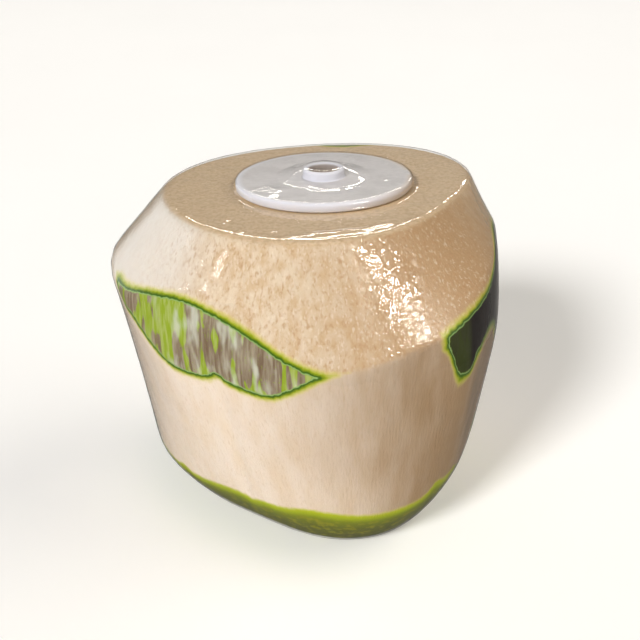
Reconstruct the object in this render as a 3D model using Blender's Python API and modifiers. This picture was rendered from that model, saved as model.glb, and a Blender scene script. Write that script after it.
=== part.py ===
"""A trimmed young coconut with a white drinking cap on its flat top, wrapped in clear shrink film.

Metres, +Z up. The ground is z = 0, and the origin lies under the middle of the whole part.
The husk is what four kinds of cut leave of the natural nut: straight downward strokes all
round, a sloping shoulder, a flat top and a flat foot. Where the nut lies inside every cut,
its green skin is left standing.
"""

import math

import bmesh
import bpy

# Heights over the ground
TOP = 0.0966
SKIN_REFERENCE = 0.055
HEM = 0.0012

# The cap's axis in plan. All azimuths below are measured round it, in degrees from +X.
CAP_AXIS = (0.0055, 0.0028)

# An outline is a radius all round: its mean, then the amount and azimuth of its shift to one
# side, of its oval and of its three lobes.
NUT = (0.0569, (0.0056, -172), (0.0025, -28), (0.0041, 49))
NUT_MIDDLE = 0.0613
NUT_HALF_HEIGHT = 0.0768
NUT_ROUNDNESS = 2.03
LOBE_GROWTH = 5.2
PEEL = (0.0585, (0.0025, 93), (0.0018, -28), (0.0009, 27))
PEEL_TAPER = (10.6, (2.6, -65), (0.0, 0), (3.6, -14))
RIM = (0.0441, (0.0024, 146), (0.0024, 56), (0.0020, 34))
SHOULDER_SLOPE = (52.6, (7.8, -82), (7.2, 53), (5.3, 25))

# Where an outline swells on one side only: amount, azimuth and how narrow the swelling is
NUT_SWELLINGS = ((0.0060, 40, 6), (-0.0030, 86, 12), (0.0030, 122, 8))
SLOPE_SWELLINGS = ((9.0, 35, 4), (12.0, 78, 8), (6.0, 120, 8))

# Single flat knife strokes: azimuth, distance from the cap's axis and taper towards the foot
STROKES = (
    (-122.4, 0.0533, 14.0),
    (-66.8, 0.0566, 6.4),
    (-22.7, 0.0509, 8.5),
    (-7.0, 0.0497, 11.0),
    (15.0, 0.0488, 11.0),
    (46.0, 0.0550, 9.0),
    (84.0, 0.0498, 10.0),
    (119.0, 0.0536, 8.0),
)
STROKE_SHARPNESS = 80
NICK_AZIMUTH = -121.8
NICK_DEPTH = 0.0004
NICK_WIDTH = 2.7

# The drinking cap
CAP_RADIUS = 0.0250
CAP_THICKNESS = 0.0024
CAP_EDGE_ROUND = 0.0007
BOSS_RADIUS = 0.00585
BOSS_HOLE_RADIUS = 0.00435
BOSS_HEIGHT = 0.0026
BOSS_FILLET = 0.0006
SEAT_GAP = 0.0003

# The shrink film, whose inner face stands a gap clear of what it wraps
FILM_THICKNESS = 0.0003
FILM_GAP = 0.0006
TENT_FOOT_RADIUS = 0.0131
FILM_FILLET = 0.0016
FILM_FILLET_DIP = 0.3
LEAST_RISE = 0.004
BULGE_SAMPLES = (0.2, 0.35, 0.5, 0.65, 0.8)

# Mesh detail: spans are the lowest and highest ring of a cutter and the steps between them
COLUMNS = 64
NUT_ROWS = 56
PEEL_SPAN = (0.004, 0.084, 10)
SHOULDER_SPAN = (0.054, 0.091, 6)
CAP_COLUMNS = 56
FOOT_ROWS = 3
WALL_ROWS = 6
SHOULDER_ROWS = 3
ARC_STEPS = 3
HALVINGS = 30
SHARP_EDGE = 40.0
SEAM_MERGE = 1e-6
CLEARANCE = 0.012

HUSK_COLOUR = (0.72, 0.56, 0.38, 1.0)
CAP_COLOUR = (0.78, 0.76, 0.76, 1.0)
FILM_COLOUR = (0.90, 0.94, 0.96, 1.0)


def clear_scene():
    """Removes what the scene holds."""
    for thing in list(bpy.data.objects):
        bpy.data.objects.remove(thing, do_unlink=True)


def new_collection(name):
    """Adds a collection to the scene."""
    collection = bpy.data.collections.new(name)
    bpy.context.scene.collection.children.link(collection)
    return collection


def new_material(name, colour, roughness, alpha=1.0):
    """A plain finish with no metal in it."""
    material = bpy.data.materials.new(name)
    material.use_nodes = True
    shader = material.node_tree.nodes["Principled BSDF"]
    shader.inputs["Base Color"].default_value = colour
    shader.inputs["Roughness"].default_value = roughness
    shader.inputs["Metallic"].default_value = 0.0
    shader.inputs["Alpha"].default_value = alpha
    return material


def new_object(name, bm, collection, material=None):
    """Makes an object of a finished bmesh, which it frees."""
    mesh = bpy.data.meshes.new(name)
    bm.to_mesh(mesh)
    bm.free()
    thing = bpy.data.objects.new(name, mesh)
    collection.objects.link(thing)
    if material:
        mesh.materials.append(material)
    return thing


def around(outline, azimuth):
    """An outline's value at an azimuth in radians."""
    value = outline[0]
    for waves, (amount, towards) in enumerate(outline[1:], start=1):
        value += amount * math.cos(waves * (azimuth - math.radians(towards)))
    return value


def swelling(terms, azimuth):
    """What one-sided swellings add at an azimuth."""
    total = 0.0
    for amount, towards, narrowness in terms:
        facing = max(math.cos(azimuth - math.radians(towards)), 0.0)
        total += amount * facing ** narrowness
    return total


def nut_radius(azimuth, height):
    """The natural nut's skin: an ovoid with three soft ribs that grow towards the foot."""
    mean, shift, oval, lobes = NUT
    ring = around((mean, shift, oval), azimuth) + swelling(NUT_SWELLINGS, azimuth)
    growth = 1.0 + LOBE_GROWTH * (SKIN_REFERENCE - height)
    ring += growth * lobes[0] * math.cos(3 * (azimuth - math.radians(lobes[1])))
    from_middle = min(abs(height - NUT_MIDDLE) / NUT_HALF_HEIGHT, 1.0)
    return ring * (1.0 - from_middle ** NUT_ROUNDNESS) ** (1.0 / NUT_ROUNDNESS)


def peel_radius(azimuth, height):
    """The downward strokes: a lobed taper, then flat strokes, each a chord across the round."""
    below = SKIN_REFERENCE - height
    taper = math.radians(around(PEEL_TAPER, azimuth))
    nearness = [1.0 / (around(PEEL, azimuth) - below * math.tan(taper))]
    for towards, distance, stroke_taper in STROKES:
        facing = math.cos(azimuth - math.radians(towards))
        if facing > 0.0:
            nearness.append(facing / (distance - below * math.tan(math.radians(stroke_taper))))
    nearest = max(nearness)
    softened = sum((value / nearest) ** STROKE_SHARPNESS for value in nearness)
    from_nick = (math.degrees(azimuth) - NICK_AZIMUTH + 180.0) % 360.0 - 180.0
    nick = NICK_DEPTH * math.exp(-((from_nick / NICK_WIDTH) ** 2))
    return softened ** (-1.0 / STROKE_SHARPNESS) / nearest - nick


def shoulder_radius(azimuth, height):
    """The sloping shoulder cut, which starts at the rim of the flat top."""
    slope = around(SHOULDER_SLOPE, azimuth) + swelling(SLOPE_SWELLINGS, azimuth)
    return around(RIM, azimuth) + (TOP - height) / math.tan(math.radians(slope))


def husk_radius(azimuth, height):
    """The carved husk's surface: the innermost of the skin and the cuts."""
    cuts = (nut_radius, peel_radius, shoulder_radius)
    return min(cut(azimuth, height) for cut in cuts)


def shape_round(bm, radius_at):
    """Gives every point of a unit-radius tube the radius that its azimuth and height ask for."""
    for vert in bm.verts:
        azimuth = math.atan2(vert.co.y, vert.co.x)
        radius = radius_at(azimuth, vert.co.z)
        vert.co.x = CAP_AXIS[0] + radius * math.cos(azimuth)
        vert.co.y = CAP_AXIS[1] + radius * math.sin(azimuth)


def tube_through(heights, radius_at):
    """A closed tube with flat ends whose wall follows a radius function, a ring at each height."""
    bm = bmesh.new()
    bmesh.ops.create_cone(
        bm, cap_ends=True, cap_tris=False, segments=COLUMNS, radius1=1.0, radius2=1.0, depth=2.0
    )
    uprights = [e for e in bm.edges if abs(e.verts[0].co.z - e.verts[1].co.z) > 1.0]
    last = len(heights) - 1
    bmesh.ops.subdivide_edges(bm, edges=uprights, cuts=last - 1, use_grid_fill=True)
    for vert in bm.verts:
        vert.co.z = heights[round((vert.co.z + 1.0) / 2.0 * last)]
    shape_round(bm, radius_at)
    return bm


def spread(start, end, steps):
    """Evenly spaced heights, both ends included."""
    return [start + (end - start) * step / steps for step in range(steps + 1)]


def natural_nut():
    """The whole nut before any cut, from a sphere."""
    bm = bmesh.new()
    bmesh.ops.create_uvsphere(bm, u_segments=COLUMNS, v_segments=NUT_ROWS, radius=1.0)
    for vert in bm.verts:
        vert.co.z = NUT_MIDDLE + NUT_HALF_HEIGHT * vert.co.z
    shape_round(bm, nut_radius)
    return bm


def carve(body, cutter):
    """Keeps only what lies inside a cutter."""
    cut = body.modifiers.new(cutter.name, "BOOLEAN")
    cut.operation = "INTERSECT"
    cut.solver = "EXACT"
    cut.object = cutter
    cutter.hide_render = True
    cutter.display_type = "WIRE"


def make_husk(parts, cutters):
    """The carved husk, one solid."""
    husk = new_object("husk", natural_nut(), parts, new_material("husk", HUSK_COLOUR, 0.55))
    strokes = tube_through([-CLEARANCE, *spread(*PEEL_SPAN), TOP + CLEARANCE], peel_radius)
    carve(husk, new_object("downward_strokes", strokes, cutters))
    shoulder = tube_through([0.0, *spread(*SHOULDER_SPAN), TOP], shoulder_radius)
    carve(husk, new_object("shoulder_and_flats", shoulder, cutters))


def arc(centre, radius, start, end):
    """Points of a round corner in a profile, with angles in degrees."""
    points = []
    for step in range(ARC_STEPS + 1):
        angle = math.radians(start + (end - start) * step / ARC_STEPS)
        points.append((centre[0] + radius * math.cos(angle), centre[1] + radius * math.sin(angle)))
    return points


def cap_profile():
    """Half the cap's section, from the foot of the hole outwards and back up to it."""
    under = TOP + SEAT_GAP
    face = under + CAP_THICKNESS
    crown = face + BOSS_HEIGHT
    edge = CAP_EDGE_ROUND
    points = [(BOSS_HOLE_RADIUS, under), (CAP_RADIUS, under)]
    points += arc((CAP_RADIUS - edge, face - edge), edge, 0, 90)
    points += arc((BOSS_RADIUS + BOSS_FILLET, face + BOSS_FILLET), BOSS_FILLET, 270, 180)
    lip = (BOSS_RADIUS - BOSS_HOLE_RADIUS) / 2
    points += arc((BOSS_RADIUS - lip, crown - lip), lip, 0, 180)
    return points


def turned(points):
    """A closed ring turned from a closed profile round the cap's axis."""
    bm = bmesh.new()
    verts = [bm.verts.new((radius, 0.0, height)) for radius, height in points]
    edges = [bm.edges.new((verts[i - 1], verts[i])) for i in range(len(verts))]
    bmesh.ops.spin(
        bm,
        geom=verts + edges,
        cent=(0.0, 0.0, 0.0),
        axis=(0.0, 0.0, 1.0),
        angle=2 * math.pi,
        steps=CAP_COLUMNS,
        use_merge=True,
    )
    bmesh.ops.remove_doubles(bm, verts=bm.verts, dist=SEAM_MERGE)
    bmesh.ops.recalc_face_normals(bm, faces=bm.faces)
    bmesh.ops.translate(bm, verts=bm.verts, vec=(*CAP_AXIS, 0.0))
    return bm


def make_cap(parts):
    """The white cap: a thin disc with a raised, open boss in the middle."""
    cap = new_object("cap", turned(cap_profile()), parts, new_material("cap", CAP_COLOUR, 0.35))
    cap.data.shade_smooth()
    cap.data.set_sharp_from_angle(angle=math.radians(SHARP_EDGE))


def crossing(low, high, inner, outer, azimuth):
    """The height between two heights where one surface crosses another."""
    sign = inner(azimuth, low) < outer(azimuth, low)
    for _ in range(HALVINGS):
        middle = (low + high) / 2
        if (inner(azimuth, middle) < outer(azimuth, middle)) == sign:
            low = middle
        else:
            high = middle
    return (low + high) / 2


def uncut_below_shoulder(azimuth, height):
    """The husk's surface if it had no shoulder cut."""
    return min(nut_radius(azimuth, height), peel_radius(azimuth, height))


def film_heights(azimuth):
    """Heights of the film's rows up the wall, with rows on the lines where the cuts meet."""
    shoulder_line = crossing(SKIN_REFERENCE, TOP, uncut_below_shoulder, shoulder_radius, azimuth)
    skin_line = crossing(HEM, SKIN_REFERENCE, nut_radius, peel_radius, azimuth)
    heights = spread(HEM, max(skin_line, HEM + LEAST_RISE), FOOT_ROWS)
    heights += spread(heights[-1], shoulder_line, WALL_ROWS)[1:]
    heights += spread(heights[-1], TOP, SHOULDER_ROWS)[1:]
    return heights


def film_up_wall(azimuth):
    """Radius and height of the film's rows up the wall, drawn taut past bulges between rows."""
    heights = film_heights(azimuth)
    radii = [husk_radius(azimuth, height) + FILM_GAP for height in heights]
    bulges = [0.0]
    for row in range(1, len(heights)):
        below, above = heights[row - 1], heights[row]
        bulge = 0.0
        for share in BULGE_SAMPLES:
            chord = radii[row - 1] + share * (radii[row] - radii[row - 1])
            surface = husk_radius(azimuth, below + share * (above - below)) + FILM_GAP
            bulge = max(bulge, surface - chord)
        bulges.append(bulge)
    bulges.append(0.0)
    radii = [radius + max(bulges[row : row + 2]) for row, radius in enumerate(radii)]
    heights[-1] += FILM_GAP
    return list(zip(radii, heights))


def film_over_cap():
    """Radius and height of the film's rows from the flat top, over the cap, to its middle."""
    flat = TOP + FILM_GAP
    face = TOP + SEAT_GAP + CAP_THICKNESS
    crown = face + BOSS_HEIGHT + FILM_GAP
    edge_middle = (CAP_RADIUS - CAP_EDGE_ROUND, face - CAP_EDGE_ROUND)
    edge_round = CAP_EDGE_ROUND + FILM_GAP
    wall = edge_middle[0] + edge_round
    dip = FILM_FILLET_DIP * FILM_FILLET
    rows = [(wall + FILM_FILLET, flat), (wall + dip, flat + dip)]
    rows += arc(edge_middle, edge_round, 0, 90)
    rows += [(TENT_FOOT_RADIUS, face + FILM_GAP), (BOSS_RADIUS + FILM_GAP, crown), (0.0, crown)]
    return rows


def split_outwards(bm):
    """Splits each four-sided face along whichever diagonal keeps the sheet bulging outwards."""
    for face in list(bm.faces):
        if len(face.verts) == 4:
            a, b, c, d = face.verts
            outward = (b.co + d.co - a.co - c.co).dot(face.normal)
            ends = (b, d) if outward > 0.0 else (a, c)
            bmesh.utils.face_split(face, *ends)


def film_sheet():
    """The film's inner face as one open sheet, closed at the seam and at the middle."""
    over_cap = film_over_cap()
    columns = []
    for column in range(COLUMNS):
        azimuth = 2 * math.pi * column / COLUMNS
        columns.append((azimuth, film_up_wall(azimuth) + over_cap))
    last = len(columns[0][1]) - 1
    bm = bmesh.new()
    bmesh.ops.create_grid(bm, x_segments=COLUMNS, y_segments=last, size=1.0)
    for vert in bm.verts:
        azimuth, rows = columns[round((vert.co.x + 1.0) / 2.0 * COLUMNS) % COLUMNS]
        radius, vert.co.z = rows[round((vert.co.y + 1.0) / 2.0 * last)]
        vert.co.x = CAP_AXIS[0] + radius * math.cos(azimuth)
        vert.co.y = CAP_AXIS[1] + radius * math.sin(azimuth)
    bmesh.ops.remove_doubles(bm, verts=bm.verts, dist=SEAM_MERGE)
    bmesh.ops.recalc_face_normals(bm, faces=bm.faces)
    split_outwards(bm)
    return bm


def make_film(parts):
    """The clear film, drawn tight over husk and cap and left open in a ring round the foot."""
    film = new_object("film", film_sheet(), parts, new_material("film", FILM_COLOUR, 0.08, 0.2))
    wall = film.modifiers.new("thickness", "SOLIDIFY")
    wall.thickness = FILM_THICKNESS
    wall.offset = 1.0
    wall.use_even_offset = True


def main():
    clear_scene()
    parts = new_collection("young_coconut")
    cutters = new_collection("cutters")
    make_husk(parts, cutters)
    make_cap(parts)
    make_film(parts)


main()
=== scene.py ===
"""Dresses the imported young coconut: its carved husk, drinking cap and shrink film, in a plain studio.

Metres, +Z up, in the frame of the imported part. Azimuths are measured round the cap's axis from +X.
"""

import logging
import math
from dataclasses import dataclass
from enum import Enum

import bmesh
import bpy
import numpy as np
from mathutils import Matrix, Vector, noise


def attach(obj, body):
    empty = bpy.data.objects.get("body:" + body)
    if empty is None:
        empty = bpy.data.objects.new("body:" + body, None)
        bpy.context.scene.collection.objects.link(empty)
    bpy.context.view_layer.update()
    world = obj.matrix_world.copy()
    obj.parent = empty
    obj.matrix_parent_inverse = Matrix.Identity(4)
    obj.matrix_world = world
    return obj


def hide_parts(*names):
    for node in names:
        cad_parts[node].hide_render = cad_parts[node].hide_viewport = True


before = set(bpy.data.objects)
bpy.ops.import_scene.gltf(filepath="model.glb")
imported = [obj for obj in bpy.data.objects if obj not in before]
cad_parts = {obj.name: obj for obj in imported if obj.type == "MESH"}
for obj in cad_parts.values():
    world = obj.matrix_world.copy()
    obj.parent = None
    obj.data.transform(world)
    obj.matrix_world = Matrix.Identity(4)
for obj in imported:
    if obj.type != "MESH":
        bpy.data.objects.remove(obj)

LOG = logging.getLogger("young_coconut")
MM = 0.001
BODY = "root"
CAP_AXIS = (0.0055, 0.0028)
SEAM_MERGE = 1e-7

Pair = tuple[float, float]
Triple = tuple[float, float, float]
Colour = tuple[float, float, float, float]
Stops = tuple[tuple[float, Colour], ...]
Array = np.ndarray
Socket = bpy.types.NodeSocket
Material = bpy.types.Material


def srgb(red: float, green: float, blue: float) -> Colour:
    """Turns a display colour into the linear one that shaders take.

    Args:
        red: Red, 0 to 255.
        green: Green, 0 to 255.
        blue: Blue, 0 to 255.

    Returns:
        The linear colour with full alpha.
    """
    linear = []
    for part in (red / 255.0, green / 255.0, blue / 255.0):
        linear.append(part / 12.92 if part <= 0.04045 else ((part + 0.055) / 1.055) ** 2.4)
    return (linear[0], linear[1], linear[2], 1.0)


def ease(value: Array, low: float, high: float) -> Array:
    """A smooth way from 0 at low to 1 at high, also where low is the higher of the two."""
    share = np.clip((value - low) / (high - low), 0.0, 1.0)
    return share * share * (3.0 - 2.0 * share)


def apart(azimuth: Array, towards: float) -> Array:
    """Turns of -180 to 180 degrees to azimuths in radians, from one that is given in degrees."""
    return (np.degrees(azimuth) - towards + 180.0) % 360.0 - 180.0


# The carved form

@dataclass(frozen=True)
class Outline:
    """A value all round: its mean, then the amount and azimuth of its shift, oval and lobes."""

    mean: float
    waves: tuple[Pair, ...]

    def at(self, azimuth: Array) -> Array:
        """Gives the outline's value.

        Args:
            azimuth: Azimuths in radians.

        Returns:
            The value at each azimuth.
        """
        value = np.full_like(azimuth, self.mean)
        for count, (amount, towards) in enumerate(self.waves, start=1):
            value = value + amount * np.cos(count * (azimuth - math.radians(towards)))
        return value


@dataclass(frozen=True)
class Swelling:
    """Where an outline swells on one side only."""

    amount: float
    towards: float
    narrowness: float

    def at(self, azimuth: Array) -> Array:
        """What the swelling adds at azimuths in radians."""
        facing = np.maximum(np.cos(azimuth - math.radians(self.towards)), 0.0)
        return self.amount * facing ** self.narrowness


@dataclass(frozen=True)
class Span:
    """A stretch of azimuths: none at the outer two of its turns and full between the inner two."""

    towards: float
    turns: tuple[float, float, float, float]

    def at(self, azimuth: Array) -> Array:
        """Gives how far each point lies in the stretch.

        Args:
            azimuth: Azimuths in radians.

        Returns:
            Shares, 0 to 1.
        """
        turn = apart(azimuth, self.towards)
        start, full, still_full, end = self.turns
        return ease(turn, start, full) * ease(turn, end, still_full)


@dataclass(frozen=True)
class Stroke:
    """One flat downward knife stroke."""

    towards: float
    distance: float
    taper: float


@dataclass(frozen=True)
class Carving:
    """The natural nut and the cuts that shape it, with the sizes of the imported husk."""

    top: float = 0.0966
    reference: float = 0.055
    nut_ring: Outline = Outline(0.0569, ((0.0056, -172), (0.0025, -28)))
    nut_lobes: Pair = (0.0041, 49)
    nut_middle: float = 0.0613
    nut_half_height: float = 0.0768
    nut_roundness: float = 2.03
    lobe_growth: float = 5.2
    nut_swellings: tuple[Swelling, ...] = (
        Swelling(0.0060, 40, 6), Swelling(-0.0030, 86, 12), Swelling(0.0030, 122, 8),
    )
    peel_ring: Outline = Outline(0.0585, ((0.0025, 93), (0.0018, -28), (0.0009, 27)))
    peel_taper: Outline = Outline(10.6, ((2.6, -65), (0.0, 0), (3.6, -14)))
    strokes: tuple[Stroke, ...] = (
        Stroke(-122.4, 0.0533, 14.0), Stroke(-66.8, 0.0566, 6.4), Stroke(-22.7, 0.0509, 8.5),
        Stroke(-7.0, 0.0497, 11.0), Stroke(15.0, 0.0488, 11.0), Stroke(46.0, 0.0550, 9.0),
        Stroke(84.0, 0.0498, 10.0), Stroke(119.0, 0.0536, 8.0),
    )
    stroke_sharpness: float = 80.0
    nick: Triple = (-121.8, 0.0004, 2.7)
    rim: Outline = Outline(0.0441, ((0.0024, 146), (0.0024, 56), (0.0020, 34)))
    slope: Outline = Outline(52.6, ((7.8, -82), (7.2, 53), (5.3, 25)))
    slope_swellings: tuple[Swelling, ...] = (
        Swelling(9.0, 35, 4), Swelling(12.0, 78, 8), Swelling(6.0, 120, 8),
    )
    crease: float = 0.00032

    def nut(self, azimuth: Array, height: Array) -> Array:
        """Radius of the natural nut's skin.

        Args:
            azimuth: Azimuths in radians.
            height: Heights over the ground.

        Returns:
            The radii.
        """
        ring = self.nut_ring.at(azimuth)
        for swelling in self.nut_swellings:
            ring = ring + swelling.at(azimuth)
        amount, towards = self.nut_lobes
        growth = 1.0 + self.lobe_growth * (self.reference - height)
        ring = ring + growth * amount * np.cos(3.0 * (azimuth - math.radians(towards)))
        from_middle = np.minimum(np.abs(height - self.nut_middle) / self.nut_half_height, 1.0)
        power = self.nut_roundness
        return ring * (1.0 - from_middle ** power) ** (1.0 / power)

    def peel(self, azimuth: Array, height: Array) -> Array:
        """Radius that the downward strokes leave.

        Args:
            azimuth: Azimuths in radians.
            height: Heights over the ground.

        Returns:
            The radii.
        """
        below = self.reference - height
        taper = np.radians(self.peel_taper.at(azimuth))
        nearness = [1.0 / (self.peel_ring.at(azimuth) - below * np.tan(taper))]
        for stroke in self.strokes:
            facing = np.maximum(np.cos(azimuth - math.radians(stroke.towards)), 1e-3)
            nearness.append(facing / (stroke.distance - below * math.tan(math.radians(stroke.taper))))
        nearest = np.maximum.reduce(nearness)
        softened = sum((value / nearest) ** self.stroke_sharpness for value in nearness)
        towards, depth, width = self.nick
        nick = depth * np.exp(-((apart(azimuth, towards) / width) ** 2))
        return softened ** (-1.0 / self.stroke_sharpness) / nearest - nick

    def shoulder(self, azimuth: Array, height: Array) -> Array:
        """Radius of the sloping shoulder cut.

        Args:
            azimuth: Azimuths in radians.
            height: Heights over the ground.

        Returns:
            The radii.
        """
        slope = self.slope.at(azimuth)
        for swelling in self.slope_swellings:
            slope = slope + swelling.at(azimuth)
        return self.rim.at(azimuth) + (self.top - height) / np.tan(np.radians(slope))

    def husk(self, azimuth: Array, height: Array) -> Array:
        """Radius of the carved husk, its creases softened a little.

        Args:
            azimuth: Azimuths in radians.
            height: Heights over the ground.

        Returns:
            The radii.
        """
        surfaces = [cut(azimuth, height) for cut in (self.nut, self.peel, self.shoulder)]
        nearest = np.minimum.reduce(surfaces)
        total = sum(np.exp((nearest - surface) / self.crease) for surface in surfaces)
        return nearest - self.crease * np.log(total)


@dataclass(frozen=True)
class Sweep:
    """A closed or open skin of revolution-like rows: one radius and height per column and row."""

    azimuths: Array
    radii: Array
    heights: Array

    def softened(self, around_row: int, passes: int, reach: float) -> "Sweep":
        """Rounds the profile near a row.

        Args:
            around_row: The row of the edge to round.
            passes: How often each row is drawn towards its neighbours.
            reach: How many rows to either side still feel it.

        Returns:
            The rounded rows.
        """
        rows = np.arange(1, self.radii.shape[1] - 1)
        share = np.exp(-(((rows - around_row) / reach) ** 2))
        fields = []
        for field in (self.radii.copy(), self.heights.copy()):
            for _ in range(passes):
                level = (field[:, :-2] + 2.0 * field[:, 1:-1] + field[:, 2:]) / 4.0
                field[:, 1:-1] += share * (level - field[:, 1:-1])
            fields.append(field)
        return Sweep(self.azimuths, fields[0], fields[1])

    def points(self) -> Array:
        """Places every column and row in the part's frame.

        Returns:
            Points by column, row and axis.
        """
        return np.stack(
            (
                CAP_AXIS[0] + self.radii * np.cos(self.azimuths)[:, None],
                CAP_AXIS[1] + self.radii * np.sin(self.azimuths)[:, None],
                self.heights,
            ),
            axis=-1,
        )


def speckle(points: Array, spacing: float, seed: float, stretch: float = 1.0) -> Array:
    """Soft three-dimensional noise at a list of points.

    Args:
        points: Points in metres.
        spacing: Rough size of one swell in metres.
        seed: Shift that tells one pattern from another.
        stretch: How much longer the swells are along Z.

    Returns:
        Values of about -1 to 1.
    """
    shift = Vector((seed, 2.0 * seed, -seed))
    scale = np.array((1.0, 1.0, 1.0 / stretch)) / spacing
    return np.array([noise.noise(Vector(p) + shift) for p in points * scale])


# Building pieces and finishes

def new_piece(name: str, bm: bmesh.types.BMesh, node: str) -> bpy.types.Object:
    """Makes a visible piece of a finished bmesh and ties it to the node that it stands for.

    Args:
        name: The piece's name.
        bm: Its mesh, which is freed.
        node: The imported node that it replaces.

    Returns:
        The piece.
    """
    mesh = bpy.data.meshes.new(name)
    bm.to_mesh(mesh)
    bm.free()
    mesh.shade_smooth()
    piece = bpy.data.objects.new(name, mesh)
    bpy.context.scene.collection.objects.link(piece)
    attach(piece, BODY)
    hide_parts(node)
    return piece


@dataclass(frozen=True)
class Grain:
    """A noise on object coordinates: the size of its swells, its finer layers, stretch and warp."""

    spacing: float
    detail: float = 2.0
    stretch: Triple = (1.0, 1.0, 1.0)
    warp: float = 0.0


@dataclass(frozen=True)
class Layer:
    """A colour that lies over another where a grain runs from low to high."""

    colour: Colour
    grain: Grain
    low: float
    high: float
    share: float = 1.0


@dataclass
class Graph:
    """A node tree with short calls for the nodes that the finishes use."""

    tree: bpy.types.NodeTree

    def add(self, kind: str, **settings: object) -> bpy.types.Node:
        """Adds a node.

        Args:
            kind: The node's type without its prefix.
            **settings: Properties of the node.

        Returns:
            The node.
        """
        node = self.tree.nodes.new("ShaderNode" + kind)
        for name, value in settings.items():
            setattr(node, name, value)
        return node

    def feed(self, node: bpy.types.Node, inputs: dict[str | int, object]) -> None:
        """Links sockets to a node's inputs, or gives the inputs values of their own.

        Args:
            node: The node.
            inputs: A value or socket for each input, by its name or number.
        """
        for name, value in inputs.items():
            if isinstance(value, Socket):
                self.tree.links.new(value, node.inputs[name])
            else:
                node.inputs[name].default_value = value

    def place(self, stretch: Triple = (1.0, 1.0, 1.0)) -> Socket:
        """Object coordinates, drawn out along an axis where its stretch is above 1.

        Args:
            stretch: How much longer a pattern is along each axis.

        Returns:
            The coordinates.
        """
        mapping = self.add("Mapping")
        scale = tuple(1.0 / part for part in stretch)
        self.feed(mapping, {"Vector": self.add("TexCoord").outputs["Object"], "Scale": scale})
        return mapping.outputs["Vector"]

    def noise(self, grain: Grain) -> Socket:
        """Noise on object coordinates.

        Args:
            grain: Its size and form.

        Returns:
            The noise, about 0.3 to 0.7.
        """
        node = self.add("TexNoise")
        self.feed(node, {
            "Scale": 1.0 / grain.spacing, "Detail": grain.detail, "Distortion": grain.warp,
            "Vector": self.place(grain.stretch),
        })
        return node.outputs["Fac"]

    def attribute(self, name: str) -> Socket:
        """One of the piece's own named values."""
        return self.add("Attribute", attribute_name=name).outputs["Fac"]

    def maths(self, how: str, *values: object, clamp: bool = False) -> Socket:
        """Works on values.

        Args:
            how: The operation.
            *values: The values or sockets that it takes.
            clamp: Whether the result is kept within 0 and 1.

        Returns:
            The result.
        """
        node = self.add("Math", operation=how, use_clamp=clamp)
        self.feed(node, dict(enumerate(values)))
        return node.outputs[0]

    def times(self, first: object, second: object) -> Socket:
        """The product of two values or sockets."""
        return self.maths("MULTIPLY", first, second)

    def between(self, value: object, low: float, high: float) -> Socket:
        """Goes smoothly from 0 at low to 1 at high.

        Args:
            value: A value or socket.
            low: Where the result is 0.
            high: Where the result is 1.

        Returns:
            The share.
        """
        node = self.add("MapRange", interpolation_type="SMOOTHSTEP")
        self.feed(node, {"Value": value, "From Min": low, "From Max": high})
        return node.outputs["Result"]

    def mix(self, share: object, first: object, second: object) -> Socket:
        """Lays one colour over another.

        Args:
            share: How much of the second shows.
            first: The colour below.
            second: The colour above.

        Returns:
            The colour.
        """
        node = self.add("Mix", data_type="RGBA")
        self.feed(node, {0: share, 6: first, 7: second})
        return node.outputs[2]

    def lay(self, below: object, layer: Layer, mask: object = 1.0) -> Socket:
        """Lays a layer over the colour below, where the mask, a value or socket, lets it show."""
        share = self.between(self.noise(layer.grain), layer.low, layer.high)
        return self.mix(self.times(self.times(share, mask), layer.share), below, layer.colour)

    def ramp(self, value: object, stops: Stops) -> Socket:
        """Colours a value by stops that lie anywhere on its scale.

        Args:
            value: A value or socket.
            stops: Positions in rising order, each with its colour.

        Returns:
            The colour.
        """
        low, high = stops[0][0], stops[-1][0]
        scale, node = self.add("MapRange"), self.add("ValToRGB")
        self.feed(scale, {"Value": value, "From Min": low, "From Max": high})
        elements = node.color_ramp.elements
        while len(elements) < len(stops):
            elements.new(0.5)
        for element, (position, colour) in zip(elements, stops):
            element.position = (position - low) / (high - low)
            element.color = colour
        self.feed(node, {"Fac": scale.outputs["Result"]})
        return node.outputs["Color"]

    def bump(self, height: object, depth: float, strength: object = 1.0, normal: object = None) -> Socket:
        """A bumpy normal.

        Args:
            height: The relief, 0 to 1.
            depth: How deep 0 to 1 is, in metres.
            strength: A value or socket that fades it.
            normal: The normal that it is laid on.

        Returns:
            The normal.
        """
        node = self.add("Bump")
        self.feed(node, {"Distance": depth, "Strength": strength, "Height": height})
        if normal is not None:
            self.feed(node, {"Normal": normal})
        return node.outputs["Normal"]


def new_material(name: str) -> tuple[Material, Graph, bpy.types.Node]:
    """Starts a finish.

    Args:
        name: The material's name.

    Returns:
        The material, its graph and its shader.
    """
    material = bpy.data.materials.new(name)
    material.use_nodes = True
    return material, Graph(material.node_tree), material.node_tree.nodes["Principled BSDF"]


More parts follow.
